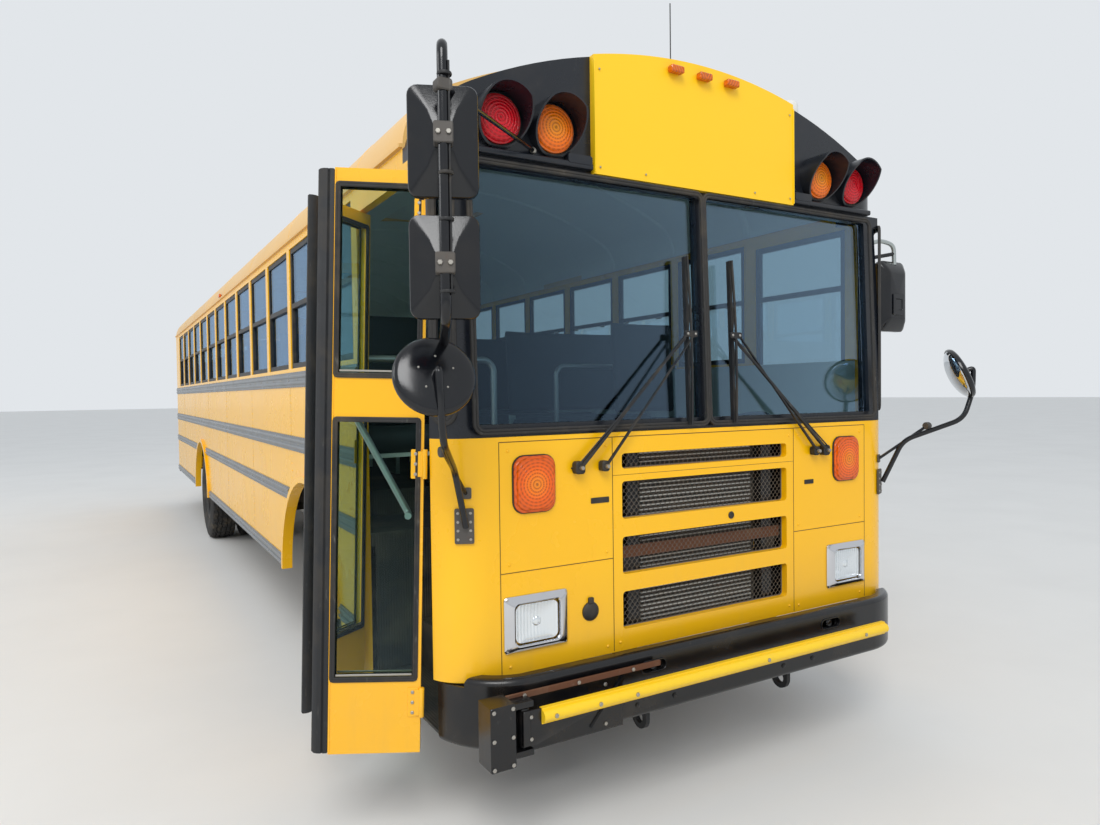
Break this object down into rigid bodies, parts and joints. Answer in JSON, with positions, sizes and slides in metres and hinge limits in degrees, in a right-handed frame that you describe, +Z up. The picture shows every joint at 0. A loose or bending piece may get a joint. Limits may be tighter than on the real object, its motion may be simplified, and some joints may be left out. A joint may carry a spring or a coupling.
{
  "type": "school bus",
  "caption": "Flat-nosed passenger bus with an open folding entrance door, hooded warning lamps, crossing gate, stop arm and rows of bench seats.",
  "frame": {"origin": "on the ground, on the centreline, halfway along the bus", "axes": "+Z up, -Y towards the front of the bus, +X towards the driver's side"},
  "size_m": [3.0942, 11.296, 3.345],
  "materials": {
    "bus_yellow": "gloss",
    "black_paint": "satin",
    "rail_grey": "satin",
    "glass": "gloss",
    "rubber": "matte",
    "tyre": "matte",
    "wheel_paint": "satin",
    "frame_steel": "satin",
    "cast": "rough",
    "tank_metal": "satin",
    "floor_rubber": "matte",
    "mesh_steel": "satin",
    "chrome": "polished",
    "amber_lens": "gloss",
    "red_lens": "gloss",
    "cab_plastic": "matte",
    "seat_vinyl": "satin",
    "seat_steel": "satin",
    "rail_steel": "satin",
    "mirror_black": "gloss",
    "stop_red": "gloss",
    "white_paint": "gloss"
  },
  "bodies": {
    "body": {"side_wall_left": "bus_yellow", "side_wall_right": "bus_yellow", "roof": "bus_yellow", "rear_wall": "bus_yellow", "front_panel": "bus_yellow", "sign_panel": "bus_yellow", "windshield_frame": "black_paint", "front_cap": "black_paint", "rub_rails": "rail_grey", "window_frames": "black_paint", "body_glass": "glass", "floor": "floor_rubber", "entrance_steps": "floor_rubber", "grille_screens": "mesh_steel", "front_bumper": "black_paint", "rear_bumper": "black_paint", "gate_bracket": "black_paint", "chassis_rails": "frame_steel", "cross_members": "frame_steel", "floor_sills": "frame_steel", "front_axle": "frame_steel", "rear_axle": "frame_steel", "engine": "cast", "tank_and_exhaust": "tank_metal", "headlamps": "chrome", "amber_lamps": "amber_lens", "red_lamps": "red_lens", "mirrors": "mirror_black", "wipers": "black_paint", "roof_fittings": "black_paint", "dashboard": "cab_plastic", "engine_cover": "cab_plastic", "steering_wheel": "cab_plastic", "seat_pads": "seat_vinyl", "seat_frames": "seat_steel", "cabin_rails": "rail_steel", "stop_arm_base": "black_paint"},
    "knuckle_left": {"knuckle_left": "frame_steel"},
    "knuckle_right": {"knuckle_right": "frame_steel"},
    "tie_rod": {"tie_rod": "frame_steel"},
    "wheel_front_left": {"tyre_front_left": "tyre", "rim_front_left": "wheel_paint"},
    "wheel_front_right": {"tyre_front_right": "tyre", "rim_front_right": "wheel_paint"},
    "wheels_rear_left": {"tyres_rear_left": "tyre", "rims_rear_left": "wheel_paint"},
    "wheels_rear_right": {"tyres_rear_right": "tyre", "rims_rear_right": "wheel_paint"},
    "door_front": {"door_front_frame": "bus_yellow", "door_front_glass": "glass", "door_front_nosing": "rubber"},
    "door_rear": {"door_rear_frame": "bus_yellow", "door_rear_glass": "glass", "door_rear_nosing": "rubber"},
    "emergency_door": {"emergency_door": "bus_yellow", "emergency_door_glass": "glass"},
    "gate_arm": {"gate_arm": "bus_yellow"},
    "stop_arm": {"stop_arm": "stop_red"},
    "roof_hatch_front": {"roof_hatch_front": "white_paint"},
    "roof_hatch_rear": {"roof_hatch_rear": "white_paint"}
  },
  "joints": [
    {"name": "steer_left", "type": "hinge", "parent": "body", "child": "knuckle_left", "pos_m": [0.82, -3.169, 0.525], "axis": [0, 0, 1], "range_deg": [-38, 38]},
    {"name": "steer_right", "type": "hinge", "parent": "body", "child": "knuckle_right", "pos_m": [-0.82, -3.169, 0.525], "axis": [0, 0, 1], "range_deg": [-38, 38]},
    {"name": "tie_rod_swing", "type": "hinge", "parent": "knuckle_left", "child": "tie_rod", "pos_m": [0.82, -2.949, 0.402], "axis": [0, 0, 1], "range_deg": [-38, 38]},
    {"name": "spin_front_left", "type": "hinge", "parent": "knuckle_left", "child": "wheel_front_left", "pos_m": [1.005, -3.169, 0.525], "axis": [1, 0, 0], "continuous": true},
    {"name": "spin_front_right", "type": "hinge", "parent": "knuckle_right", "child": "wheel_front_right", "pos_m": [-1.005, -3.169, 0.525], "axis": [1, 0, 0], "continuous": true},
    {"name": "spin_rear_left", "type": "hinge", "parent": "body", "child": "wheels_rear_left", "pos_m": [0.885, 2.111, 0.525], "axis": [1, 0, 0], "continuous": true},
    {"name": "spin_rear_right", "type": "hinge", "parent": "body", "child": "wheels_rear_right", "pos_m": [-0.885, 2.111, 0.525], "axis": [1, 0, 0], "continuous": true},
    {"name": "door_front_swing", "type": "hinge", "parent": "body", "child": "door_front", "pos_m": [-1.222, -5.019, 1.4], "axis": [0.0332, 0, 0.9995], "range_deg": [-65, 0]},
    {"name": "door_rear_swing", "type": "hinge", "parent": "body", "child": "door_rear", "pos_m": [-1.222, -4.237, 1.4], "axis": [0.0332, 0, 0.9995], "range_deg": [0, 53]},
    {"name": "emergency_door_swing", "type": "hinge", "parent": "body", "child": "emergency_door", "pos_m": [-0.324, 5.481, 1.8], "axis": [0, 0, 1], "range_deg": [0, 110]},
    {"name": "gate_swing", "type": "hinge", "parent": "body", "child": "gate_arm", "pos_m": [-1, -5.315, 0.512], "axis": [0, 0, -1], "range_deg": [0, 95]},
    {"name": "stop_arm_swing", "type": "hinge", "parent": "body", "child": "stop_arm", "pos_m": [1.271, -3.789, 1.543], "axis": [0, 0, -1], "range_deg": [0, 90]},
    {"name": "hatch_front_lift", "type": "hinge", "parent": "body", "child": "roof_hatch_front", "pos_m": [0, -2.361, 3.076], "axis": [1, 0, 0], "range_deg": [0, 80]},
    {"name": "hatch_rear_lift", "type": "hinge", "parent": "body", "child": "roof_hatch_rear", "pos_m": [0, 2.239, 3.076], "axis": [1, 0, 0], "range_deg": [0, 80]}
  ],
  "couplings": [
    {"joint": "steer_right", "follows": "steer_left", "ratio": 1},
    {"joint": "tie_rod_swing", "follows": "steer_left", "ratio": -1},
    {"joint": "door_rear_swing", "follows": "door_front_swing", "ratio": -0.81539}
  ]
}
